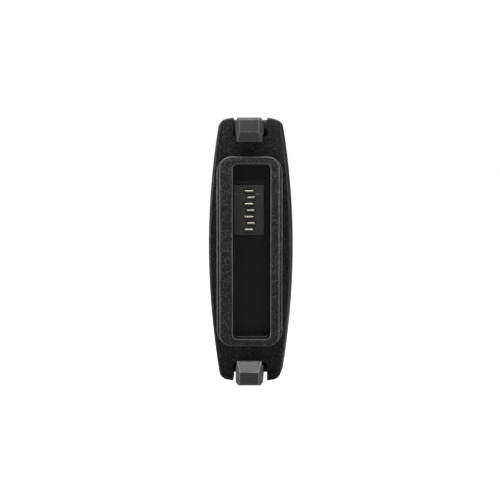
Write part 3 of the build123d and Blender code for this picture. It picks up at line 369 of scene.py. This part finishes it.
def metal(name, colour, dull, marks=(1.0, 1.0, 12.0), depth=0.002, metallic=1.0):
    """A metal finish; marks says how much finer the tool marks are along X, Y and Z."""
    tree, shader = start_material(name)
    place = add_node(tree, "ShaderNodeTexCoord").outputs["Object"]
    scale = [marks_per_metre * m for m in marks]
    along = add_node(tree, "ShaderNodeMapping", {"Vector": place, "Scale": scale}).outputs[0]
    scratches = add_node(tree, "ShaderNodeTexNoise",
                         {"Vector": along, "Scale": 1.0, "Detail": 4.0}).outputs["Fac"]
    edges = effect(tree, wear_and_highlight_edges, Width=0.1 * MM)
    touched = effect(tree, handling, Patch_size=3 * MM)
    dimmer = [handled * c for c in colour]
    brighter = [min(1.0, polished * c) for c in colour]
    shade = blend_colour(tree, touched["Smudge"], colour, dimmer)
    shade = blend_colour(tree, edges["Mask"], shade, brighter)
    roughness = ramp(tree, scratches, 0.3, 0.7, to_low=dull - 0.06, to_high=dull + 0.08)
    fill(tree, shader.inputs["Base Color"], shade)
    fill(tree, shader.inputs["Roughness"], roughness)
    dents = add_node(tree, "ShaderNodeBump",
                     {"Height": scratches, "Distance": depth * MM, "Strength": 1.0})
    fill(tree, shader.inputs["Normal"], dents.outputs[0])
    shader.inputs["Metallic"].default_value = metallic


metal("contact_metal", (0.58, 0.55, 0.485), dull=0.24, marks=(1.0, 1.0, 10.0), depth=0.0008)
metal("steel", (0.56, 0.56, 0.58), dull=0.32)
metal("brass", (0.72, 0.53, 0.25), dull=0.3)
metal("black_metal", (0.02, 0.02, 0.021), dull=0.38, marks=(1.0, 8.0, 1.0), depth=0.003,
      metallic=0.6)
print("metals ready; finishes now", len(materials))

# %% [markdown]
# ## Clear and glossy finishes
# The display hides behind a smoked clear plate, the status light is a milky rod, and the
# boards inside are green lacquer over copper. The clear ones keep a plain transmission;
# what varies over them is only a light haze in the roughness, as on any handled window.
# The display itself is off: a greyish field of fine square dots inside a dark border.

# %% Clear and glossy finishes
display_half = {"Y": 3.9, "Z": 10.1}  # the field of dots, in mm from its middle
dot_pitch = 0.3  # mm
gap_share = 0.14  # of the pitch
fade = 0.1  # mm, at the edge of the field
border_colour = (0.012, 0.012, 0.013)
gap_colour, dot_colour = (0.12, 0.13, 0.11), (0.17, 0.185, 0.155)


def glossy(name, colour, dull, haze=0.05, transmission=0.0, coat=0.0):
    """A smooth finish with a faint haze of handling in its roughness."""
    tree, shader = start_material(name)
    touched = effect(tree, handling, Patch_size=5 * MM)
    shade = blend_colour(tree, touched["Dust"], colour, dust_colour)
    roughness = ramp(tree, touched["Smudge"], 0.0, 1.0, dull, dull + haze)
    fill(tree, shader.inputs["Base Color"], shade)
    fill(tree, shader.inputs["Roughness"], roughness)
    shader.inputs["Transmission Weight"].default_value = transmission
    shader.inputs["Coat Weight"].default_value = coat
    return tree, shader


glossy("lens", (0.42, 0.42, 0.43), dull=0.04, transmission=1.0)
glossy("milky_light", (0.75, 0.76, 0.74), dull=0.25, transmission=0.5)
glossy("circuit_board", (0.008, 0.06, 0.025), dull=0.3, coat=0.4)
tree, shader = glossy("display_glass", border_colour, dull=0.12, coat=0.5)
module_low, module_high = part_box("display_module")
module_middle = (module_low + module_high) / 2
place = add_node(tree, "ShaderNodeTexCoord").outputs["Object"]
from_middle = add_node(tree, "ShaderNodeVectorMath", {0: place, 1: module_middle[:]},
                       operation="SUBTRACT")
across = add_node(tree, "ShaderNodeSeparateXYZ", {0: from_middle.outputs[0]}).outputs
inside, dots = [], []
for axis, half in display_half.items():
    away = math_node(tree, "ABSOLUTE", across[axis])
    inside.append(ramp(tree, away, half * MM, (half - fade) * MM))
    step = math_node(tree, "FRACT", math_node(tree, "DIVIDE", across[axis], dot_pitch * MM))
    dots.append(math_node(tree, "LESS_THAN", gap_share, step))
active = math_node(tree, "MULTIPLY", *inside)
dotted = math_node(tree, "MULTIPLY", *dots)
crystal = blend_colour(tree, dotted, gap_colour, dot_colour)
fill(tree, shader.inputs["Base Color"], blend_colour(tree, active, border_colour, crystal))
print("clear finishes ready; finishes now", len(materials))

# %% [markdown]
# ## Seating a piece
# Every piece that is made here ends the same way. Points that coincide are merged, faces
# are turned outwards, and the shading is smooth except over sharp edges. Then the piece
# gets its material, rides on a body, and stands for the construction node that it
# replaces, which is hidden. One function does all of it, so that no piece can miss a step.

# %% Finish a piece
weld = 0.0005 * MM


def finish_piece(mesh, name, slot, body, replaced, material=None, sharp=35):
    """Makes a piece of a mesh: merges doubles, turns faces outwards, dresses and seats it."""
    bm = bmesh.new()
    bm.from_mesh(mesh)
    bmesh.ops.remove_doubles(bm, verts=bm.verts, dist=weld)
    bmesh.ops.dissolve_degenerate(bm, edges=bm.edges, dist=weld)
    bmesh.ops.recalc_face_normals(bm, faces=bm.faces)
    bm.to_mesh(mesh)
    bm.free()
    mesh.shade_smooth()
    mesh.set_sharp_from_angle(angle=radians(sharp))
    mesh.materials.clear()
    mesh.materials.append(materials[material or slot])
    piece = bpy.data.objects.new(name, mesh)
    bpy.context.scene.collection.objects.link(piece)
    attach(piece, body)
    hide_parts(*replaced)
    return piece


print("pieces are welded within", weld / MM, "mm")

# %% [markdown]
# ## Softened copies
# The shells, the latches and the other machined or moulded pieces are right as they were
# constructed, but a perfect edge never catches the light. For each of these a copy is
# made: its loose triangles are merged, flat areas become single faces, and a narrow bevel
# rounds whatever is sharp. The copy drops the normals that came with the construction,
# because they would overrule those of the bevel.

# %% Softened copy
body_of = {node: body for body, members in frame["record"]["behaviour"]["bodies"].items()
           for node in members}
flat_angle = radians(0.4)  # faces that meet at less than this become one


def softened(node, edge, segments=3, limit=32, material=None):
    """A copy of a node whose edges sharper than limit degrees are rounded, edge mm wide."""
    mesh = nodes[node].data.copy()
    bm = bmesh.new()
    bm.from_mesh(mesh)
    bmesh.ops.remove_doubles(bm, verts=bm.verts, dist=2 * weld)
    bmesh.ops.dissolve_limit(bm, angle_limit=flat_angle, verts=bm.verts, edges=bm.edges)
    bm.to_mesh(mesh)
    bm.free()
    if "custom_normal" in mesh.attributes:
        mesh.attributes.remove(mesh.attributes["custom_normal"])
    name = mesh.name = f"{node}_part"
    piece = finish_piece(mesh, name, slot_of[node], body_of[node], (node,), material, limit)
    soft = piece.modifiers.new("soft_edges", "BEVEL")
    soft.width = edge * MM
    soft.segments = segments
    soft.limit_method = "ANGLE"
    soft.angle_limit = radians(limit)
    soft.harden_normals = True
    return piece


print("softened() can copy any of", len(body_of), "nodes")

# %% [markdown]
# ## The two shells and the top panel
# They are the moulded case: a barrel outline with bowed broad sides, parted down the
# middle of its narrow sides, with a separate panel at the aerial end. Moulded edges of
# this size have a radius of about a tenth of a millimetre left by the tool.

# %% Case
moulded_edge = 0.12  # mm
for node in ("front_shell", "back_shell", "top_panel"):
    softened(node, moulded_edge)
print("case pieces softened by", moulded_edge, "mm")

# %% [markdown]
# ## Surfaces from arrays
# A new piece here is a grid of points: one parameter runs round a section and the other
# runs from section to section. numpy works out the whole grid at once, and one function
# turns any grid into a closed mesh. Rings that shrink to a point make the end caps, and
# merging their doubles closes the pole.

# %% Grid to mesh
def grid_mesh(name, grid, wrap_rows=False, edge_rows=None):
    """Point (i, j) of the grid is joined to (i+1, j), (i+1, j+1) and (i, j+1) by a quad.

    The grid has shape (rows, columns, 3). Columns wrap round; rows wrap if asked to.
    edge_rows gives each row's share of the rubbed finish, real wear and a painted
    highlight, from 0 to 1.
    """
    rows, columns = grid.shape[:2]
    i = np.arange(rows if wrap_rows else rows - 1)[:, None]
    j = np.arange(columns)[None, :]
    below, beside = (i + 1) % rows, (j + 1) % columns
    corners = [i * columns + j, below * columns + j,
               below * columns + beside, i * columns + beside]
    quads = np.stack(np.broadcast_arrays(*corners), axis=-1).reshape(-1, 4)
    mesh = bpy.data.meshes.new(name)
    mesh.vertices.add(rows * columns)
    mesh.vertices.foreach_set("co", grid.astype(np.float32).ravel())
    mesh.loops.add(quads.size)
    mesh.loops.foreach_set("vertex_index", quads.astype(np.int32).ravel())
    mesh.polygons.add(len(quads))
    mesh.polygons.foreach_set("loop_start", np.arange(0, quads.size, 4, dtype=np.int32))
    mesh.update(calc_edges=True)
    if edge_rows is not None:
        # Each point's share of the edge finish: real wear and a painted highlight.
        wear_and_highlight_share = mesh.attributes.new("rounded_edge", "FLOAT", "POINT")
        wear_and_highlight_share.data.foreach_set("value", np.repeat(edge_rows, columns).astype(np.float32))
    return mesh


print("grid helper ready")

# %% [markdown]
# ## Dock collar
# The collar locates the battery pack: a tall ring with a lip, two lower shoulders along
# its sides and a well inside. It could be built up from boxes, but all of its sections
# are rounded rectangles, so it is one loft. First come the depths along Y and the
# sections, in mm, both named for the places that they pass.

# %% Sections of the collar
collar_low, collar_high = (np.array(corner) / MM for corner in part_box("dock_collar"))
lip_y, back_y = collar_low[1], collar_high[1]
shoulder_y, step_y, floor_y = lip_y + 0.8, lip_y + 4.0, 0.5
window_depth = 1.3
well_x, window_z = 0.5, 9.4
free_edge = 0.25  # radius of an edge that the battery and hands rub
bend, slight = 0.1, 0.02  # sizes of the small bends
corner_share = 0.8  # of what a section loses, taken from its corner radius

# Half thickness, half width and corner radius of each section
outer = (7.6, 21.9, 3.6)
shoulder = (outer[0] - free_edge, outer[1], outer[2] - bend)
lip = (6.9, 21.9, 2.7)
lip_foot = (lip[0] + bend, lip[1], lip[2] + 2 * bend)
lip_bend = (lip[0] + slight, lip[1], lip[2] + slight)
well = (4.35, 20.2, 1.1)
deep_well = (4.31, 19.98, 1.05)
window = (4.3, 6.6, 0.06)
behind = (5.5, 21.4, 1.1)


def station(y, section, x=0.0, z=0.0, less=0.0):
    """One station: y, the section made smaller by less, and its middle in X and Z."""
    half_x, half_z, radius = section
    return (y, half_x - less, half_z - less, radius - corner_share * less, x, z)


print("collar reaches from", round(lip_y, 2), "to", round(back_y, 2), "mm")

# %% [markdown]
# ## From stations to a loft
# A station is a depth, a section and how rubbed it is. Each becomes a ring of points, and
# the rings are the rows of a grid. Where an edge is rounded, its stations lie on a
# quarter ellipse, and they are the rubbed ones, for there the battery and the pocket
# polish the plastic. The same share also paints a highlight along each rounded edge.

# %% Stations to a loft
def ring(half_u, half_v, radius, corner_steps=8):
    """Points round a rounded rectangle, as an array of (u, v).

    Each corner is an arc about (half_u - radius, half_v - radius), mirrored by quadrant.
    """
    turn = np.linspace(0, pi / 2, corner_steps + 1)
    corners = []
    for quadrant, (u, v) in enumerate(((1, 1), (-1, 1), (-1, -1), (1, -1))):
        angle = turn + quadrant * pi / 2
        corners.append(np.stack([u * (half_u - radius) + radius * np.cos(angle),
                                 v * (half_v - radius) + radius * np.sin(angle)], axis=-1))
    return np.concatenate(corners)


def plain(*rows):
    """Stations with no rubbed finish and no painted highlight: a last value of 0 is added to
    each.
    """
    return [(*row, 0.0) for row in rows]


def edge_round(start, corner, end, steps=4):
    """The stations of a rounded edge: a quarter ellipse from start to end, by the corner.

    A station is corner + (start - corner) (1 - sin t) + (end - corner) (1 - cos t), where
    t goes from 0 to a right angle. Its rubbed share, which also sets a painted highlight,
    is the root of the sine of 2 t: 0 at both ends and near 1 between.
    """
    start, corner, end = (np.array(row) for row in (start, corner, end))
    turn = np.linspace(0, pi / 2, steps + 1)[:, None]
    path = corner + (start - corner) * (1 - np.sin(turn)) + (end - corner) * (1 - np.cos(turn))
    share = np.sin(np.linspace(0, pi, steps + 1)) ** 0.5
    return [(*row, s) for row, s in zip(path, share)]


def lofted(stations):
    """The loft through stations (y, half x, half z, radius, middle x, middle z, rubbed),
    where rubbed is the share of wear and painted highlight.
    """
    rows = []
    for y, half_x, half_z, radius, x, z, _ in stations:
        loop = ring(half_x, half_z, radius)
        rows.append(np.stack([loop[:, 0] + x, np.full(len(loop), y), loop[:, 1] + z], axis=-1))
    return np.array(rows) * MM


lip_round = edge_round(station(lip_y + free_edge, lip), station(lip_y, lip),
                       station(lip_y, lip, less=free_edge))
print("a rounded edge has", len(lip_round), "stations")

# %% [markdown]
# ## The walk round the collar
# The stations run up the outside, over the shoulders and the lip, down the well, across
# its floor to the contacts' window and back behind: a closed tube. A little more than
# half way down the well, where its wide mouth gives way to the close fit of the tongue,
# a small step draws a fine line: its rounded edge carries a painted highlight.

# %% Dock collar
stations = plain(station(back_y, outer), station(0.0, outer))
stations += edge_round(station(shoulder_y + free_edge, outer), station(shoulder_y, outer),
                       station(shoulder_y, shoulder))
stations += plain(station(shoulder_y, lip_foot), station(shoulder_y - slight, lip_bend),
                  station(shoulder_y - bend, lip))
stations += lip_round
stations += edge_round(station(lip_y, well, well_x, less=-free_edge),
                       station(lip_y, well, well_x), station(lip_y + free_edge, well, well_x))
stations += plain(station(step_y - 2 * bend, well, well_x))
stations += edge_round(station(step_y - bend, well, well_x), station(step_y, well, well_x),
                       station(step_y, deep_well, well_x))
stations += plain(station(step_y + bend, deep_well, well_x),
                  station(floor_y - bend, deep_well, well_x),
                  station(floor_y, deep_well, well_x, less=bend / 2),
                  station(floor_y, window, well_x, window_z),
                  station(floor_y + window_depth, window, well_x, window_z),
                  station(floor_y + window_depth, behind, well_x),
                  station(back_y, behind, well_x))
# Each ring's share of the edge finish: real wear and a painted highlight.
wear_and_highlight_share = [row[-1] for row in stations]
collar_mesh = grid_mesh("dock_collar_part", lofted(stations), wrap_rows=True, edge_rows=wear_and_highlight_share)
collar = finish_piece(collar_mesh, "dock_collar_part", "collar_plastic", "housing",
                      ("dock_collar",))
print("collar has", len(collar.data.polygons), "faces in", len(stations), "rings")

# %% [markdown]
# ## The smooth well
# Only the outside of the collar has the coarse grain. The core that forms the well is
# ground smooth, so that the battery's tongue slides in, and its walls are a little
# glossier. Their colour is no darker than the collar's; they look darker because they get
# hardly any of its painted glints, while their edges get the strongest painted highlight.
# Faces whose middles lie inside the well get that second finish.

# %% Well finish
smooth_from = lip_y + 0.3
slack_x, slack_z = 0.05, 0.1  # mm past its walls, so that their own faces count

collar.data.materials.append(materials["well_plastic"])
middles = np.empty(len(collar.data.polygons) * 3, dtype=np.float32)
collar.data.polygons.foreach_get("center", middles)
face_x, face_y, face_z = middles.reshape(-1, 3).T / MM
within = (abs(face_x - well_x) < well[0] + slack_x) & (abs(face_z) < well[1] + slack_z)
in_well = within & (face_y > smooth_from)
collar.data.polygons.foreach_set("material_index", in_well.astype(np.int32))
print(int(in_well.sum()), "faces lie in the well")

# %% [markdown]
# ## Contact carrier and block
# Behind a window in the well's floor sits a carrier, and in the carrier a block with one
# slot for each contact. Both are plain moulded boxes with crisp but not sharp edges, so
# a softened copy does them justice.

# %% Carrier and block
softened("contact_carrier", 0.07, segments=2, material="carrier_plastic")
softened("contact_block", 0.07, segments=2)
print("contact module softened")

# %% [markdown]
# ## Sprung contacts
# Each contact is a strip of plated metal bent to an arch. Its centre line is a function
# of one parameter: up a leg, round a shoulder, along a crest, round the other shoulder
# and down. The crest is pressed into two low humps, so that it touches its partner at
# two points. The section carried along the line is a thin rectangle whose outer face is
# crowned, and it is kept square to the line, so the bends have the true thickness of
# the metal.

# %% Section and line of a contact
def crowned_section(half_thick, half_width, crown, steps=10):
    """A loop (u, v): the outer face falls by crown times (v / half_width) squared."""
    v = np.linspace(-half_width, half_width, steps)
    outer = np.stack([half_thick - crown * (v / half_width) ** 2, v], axis=-1)
    inner = np.stack([np.full(steps, -half_thick), v[::-1]], axis=-1)
    return np.concatenate([outer, inner])


def arch_line(half_x, crest_y, foot_y, shoulder, hump, arc_points=9, crest_points=25):
    """The arch's centre line and its outward normals, as two arrays of (x, y).

    The two shoulders are arcs of radius shoulder; the crest between them falls by hump
    times (1 + cos) / 2, two turns of the cosine from end to end.
    """
    turn = np.linspace(0, pi / 2, arc_points)
    arc_x = half_x - shoulder + shoulder * np.cos(turn)
    arc_y = crest_y + shoulder - shoulder * np.sin(turn)
    across = np.linspace(half_x - shoulder, shoulder - half_x, crest_points)[1:-1]
    dip = hump * (1 + np.cos(across / (half_x - shoulder) * 2 * pi)) / 2
    x = np.concatenate([[half_x], arc_x, across, -arc_x[::-1], [-half_x]])
    y = np.concatenate([[foot_y], arc_y, crest_y + dip, arc_y[::-1], [foot_y]])
    line = np.stack([x, y], axis=-1)
    tangent = np.gradient(line, axis=0)
    tangent /= np.linalg.norm(tangent, axis=1, keepdims=True)
    normal = np.stack([tangent[:, 1], -tangent[:, 0]], axis=-1)
    return line, normal * np.sign(-normal[len(x) // 2, 1])


print("a section has", len(crowned_section(0.1, 0.5, 0.1)), "points")

# %% Contacts
def contact_strip(node, thickness=0.22, shoulder=0.26, hump=0.035, spread=0.14, crown=0.13):
    """Point on the line plus u times the line's normal plus v along Z.

    On each side the arch is spread wider than its node. All sizes are in mm.
    """
    low, high = (np.array(c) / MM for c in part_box(node))
    middle_x, half_x = (low[0] + high[0]) / 2, (high[0] - low[0] - thickness) / 2 + spread
    middle_z, half_z = (low[2] + high[2]) / 2, (high[2] - low[2]) / 2
    line, normal = arch_line(half_x, low[1] + thickness / 2, high[1], shoulder, hump)
    section = crowned_section(thickness / 2, half_z, crown)
    rows = np.empty((len(line), len(section), 3))
    rows[..., 0] = middle_x + line[:, :1] + normal[:, :1] * section[None, :, 0]
    rows[..., 1] = line[:, 1:] + normal[:, 1:] * section[None, :, 0]
    rows[..., 2] = middle_z + section[None, :, 1]
    caps = rows[[0, -1]].mean(axis=1, keepdims=True).repeat(len(section), axis=1)
    grid = np.concatenate([caps[:1], rows, caps[1:]]) * MM
    return finish_piece(grid_mesh(f"{node}_strip", grid), f"{node}_strip",
                        "contact_metal", body_of[node], (node,))


contact_count = 7
for number in range(1, contact_count + 1):
    contact_strip(f"contact_{number}")
print(contact_count, "contacts bent from strip")

# %% [markdown]
# ## Latch levers, keys, screws and the rest
# The remaining moulded and turned pieces get the same softened copy, with an edge radius
# that suits how each is made: wide on the finger-worn levers, narrow on a screw.

# %% Levers and small pieces
keys = ("down_key", "set_key", "up_key")
edge_widths = {"upper_latch": 0.12, "lower_latch": 0.12, "mute_knob": 0.1,
                 "case_screws": 0.06, **dict.fromkeys(keys, 0.1),
                 "audio_socket": 0.08, "aerial_ferrule": 0.08}
for node, edge in edge_widths.items():
    softened(node, edge)
print("softened", ", ".join(edge_widths))

# %% [markdown]
# ## Room behind the keys
# A key that is pressed right in stops on the face of its switch. On a copy that stops
# exactly there the two faces would flicker through each other, so the back of each key is
# drawn in by a hair.

# %% Key backs
hair = 0.03  # mm
for node in keys:
    mesh = bpy.data.objects[f"{node}_part"].data
    points = np.empty(len(mesh.vertices) * 3, dtype=np.float32)
    mesh.vertices.foreach_get("co", points)
    back_to_front = points.reshape(-1, 3)[:, 0]
    np.maximum(back_to_front, back_to_front.min() + hair * MM, out=back_to_front)
    mesh.vertices.foreach_set("co", points)
    mesh.update()
    print(mesh.name, "now starts at", round(float(back_to_front.min()) / MM, 2), "mm")

# %% [markdown]
# ## Leaf springs
# Under the finger pad of each lever a bent strip of spring steel pushes the pad out. When
# the pad goes in, the strip flattens against the floor of its pocket. The copy that stands
# for it is softened and given a mesh of its own.

# %% Leaf springs
for side, outwards in (("upper", 1), ("lower", -1)):
    spring = softened(f"{side}_latch_spring", 0.03, segments=1)
    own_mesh(spring)

# %% [markdown]
# ## Everything else
# The pieces that are left show little of themselves: pins, boards, the aerial's sleeve,
# the light pipe. They stay as constructed and only get their finish, by the name of the
# slot each has in the record.

# %% Construction pieces in view
as_built = [node for node, piece in nodes.items() if not piece.hide_render]
for node in as_built:
    finish = "milky_light" if node == "light_pipe" else slot_of[node]
    nodes[node].data.materials.clear()
    nodes[node].data.materials.append(materials[finish])
print(len(as_built), "construction nodes shown as they are")

# %% [markdown]
# ## Floor
# The floor is a wide plane right under the case. To the camera it shines as white as the
# air behind it, so no horizon shows. To everything else it is a dull grey sheet that gives
# back hardly more than it gets from the lamps, so it doesn't light the case from below.

# %% Floor
floor_half = 3.0  # metres
floor_grey = 0.28
floor_glow = 0.02  # for every ray but the camera's
floor_z = cad_low.z
floor_mesh = bpy.data.meshes.new("studio_floor")
floor_corners = [(x * floor_half, y * floor_half, floor_z)
                 for x, y in ((-1, -1), (1, -1), (1, 1), (-1, 1))]
floor_mesh.from_pydata(floor_corners, [], [(0, 1, 2, 3)])
floor = bpy.data.objects.new("studio_floor", floor_mesh)
bpy.context.scene.collection.objects.link(floor)
tree, shader = start_material("studio_floor")
seen = add_node(tree, "ShaderNodeLightPath").outputs["Is Camera Ray"]
shader.inputs["Base Color"].default_value = (floor_grey, floor_grey, floor_grey, 1)
shader.inputs["Roughness"].default_value = 0.9
shader.inputs["Emission Color"].default_value = (1, 1, 1, 1)
fill(tree, shader.inputs["Emission Strength"], ramp(tree, seen, 0.0, 1.0, floor_glow, 1.0))
floor_mesh.materials.append(materials["studio_floor"])
print("floor at", round(floor_z / MM, 2), "mm")

# %% [markdown]
# ## Air
# A black object is drawn by what it reflects, so the air has two faces too. The camera
# sees plain white. The object sees a soft grey that fades downwards, and towards the
# camera it is almost dark, which keeps the dock face black.

# %% Air
world = bpy.data.worlds.new("studio_air")
bpy.context.scene.world = world
world.use_nodes = True
air = world.node_tree
background = air.nodes["Background"]
seen = add_node(air, "ShaderNodeLightPath").outputs["Is Camera Ray"]
direction = add_node(air, "ShaderNodeSeparateXYZ",
                     {0: add_node(air, "ShaderNodeTexCoord").outputs["Generated"]})
upwards = ramp(air, direction.outputs["Z"], -0.2, 0.9, to_low=0.05, to_high=0.5)
ahead = ramp(air, direction.outputs["Y"], -0.8, 0.3, to_low=0.05, to_high=0.4)
soft_grey = math_node(air, "MULTIPLY", upwards, ahead)
level = math_node(air, "MAXIMUM", soft_grey, seen)
fill(air, background.inputs["Strength"], level)
background.inputs["Color"].default_value = (1, 1, 1, 1)
print("air is white to the camera and grey to the object")

# %% [markdown]
# ## Lamps
# A large soft box hangs above and a little behind the dock face, and gives the top edges
# their light. Two tall cards stand at the sides and draw the long lines down the collar
# and the case. A small lamp just in front picks out the slopes of the hooks, and a faint
# one far in front fills the well, so that the contacts show.

# %% Lamps
def soft_box(name, place, width, height, watts, aim=(0, 0, 0)):
    """A rectangular lamp at a place, turned to face its aim; all in mm and watts."""
    lamp_data = bpy.data.lights.new(name, "AREA")
    lamp_data.shape = "RECTANGLE"
    lamp_data.size, lamp_data.size_y = width * MM, height * MM
    lamp_data.energy = watts
    lamp = bpy.data.objects.new(name, lamp_data)
    lamp.location = Vector(place) * MM
    lamp.rotation_euler = (Vector(place) - Vector(aim)).to_track_quat("Z", "Y").to_euler()
    bpy.context.scene.collection.objects.link(lamp)
    lamp.visible_camera = False


soft_box("overhead", place=(0, 40, 250), width=300, height=240, watts=1.8)
soft_box("near_front", place=(0, -60, 55), width=50, height=16, watts=0.02, aim=(0, -5, 15))
soft_box("low_front", place=(60, -420, 0), width=200, height=160, watts=0.06)
soft_box("left_card", place=(-240, -50, 20), width=60, height=100, watts=0.55)
soft_box("right_card", place=(240, -50, 20), width=60, height=100, watts=0.4)
print(len(bpy.data.lights), "lamps set")
